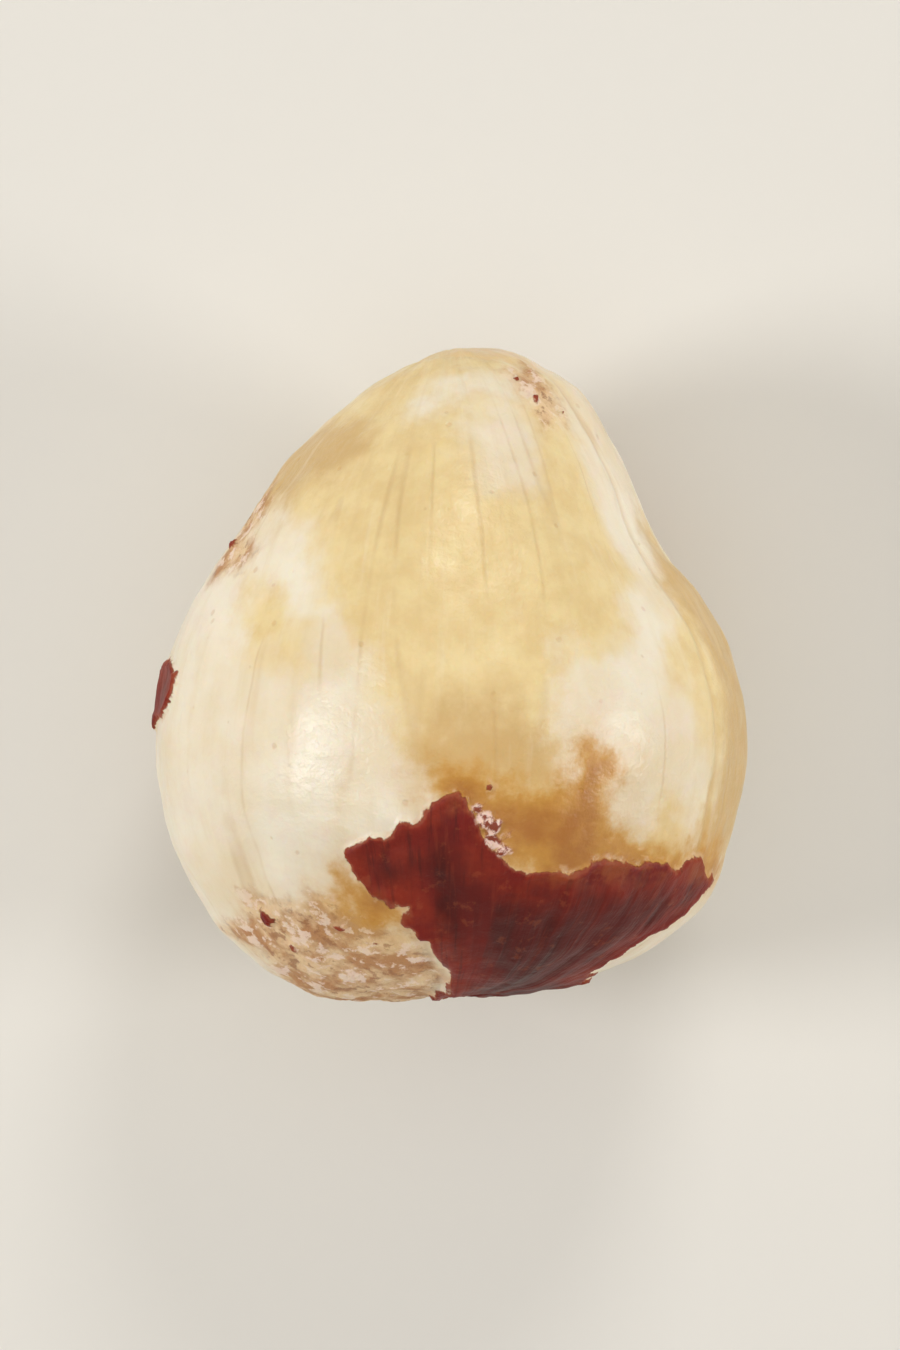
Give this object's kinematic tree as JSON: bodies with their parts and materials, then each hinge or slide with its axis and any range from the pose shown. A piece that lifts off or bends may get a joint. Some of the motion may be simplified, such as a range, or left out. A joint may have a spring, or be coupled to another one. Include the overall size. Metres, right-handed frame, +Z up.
{
  "type": "hazelnut kernel",
  "caption": "Shelled, blanched hazelnut kernel lying on its side: broad round base, narrow blunt tip and a torn patch of red-brown skin near the base.",
  "frame": {"origin": "on the surface that the kernel lies on, below the middle of its length and width", "axes": "+Y along the growth axis from the broad base to the narrow tip, +Z up from the flat resting spot, +X to the right when seen from above with the tip pointing away"},
  "size_m": [0.014, 0.0154, 0.013],
  "materials": {
    "kernel": "satin blanched nut flesh, cream to golden, with remnants of glossy red-brown skin"
  },
  "bodies": {
    "root": {"kernel": "kernel"}
  },
  "joints": []
}
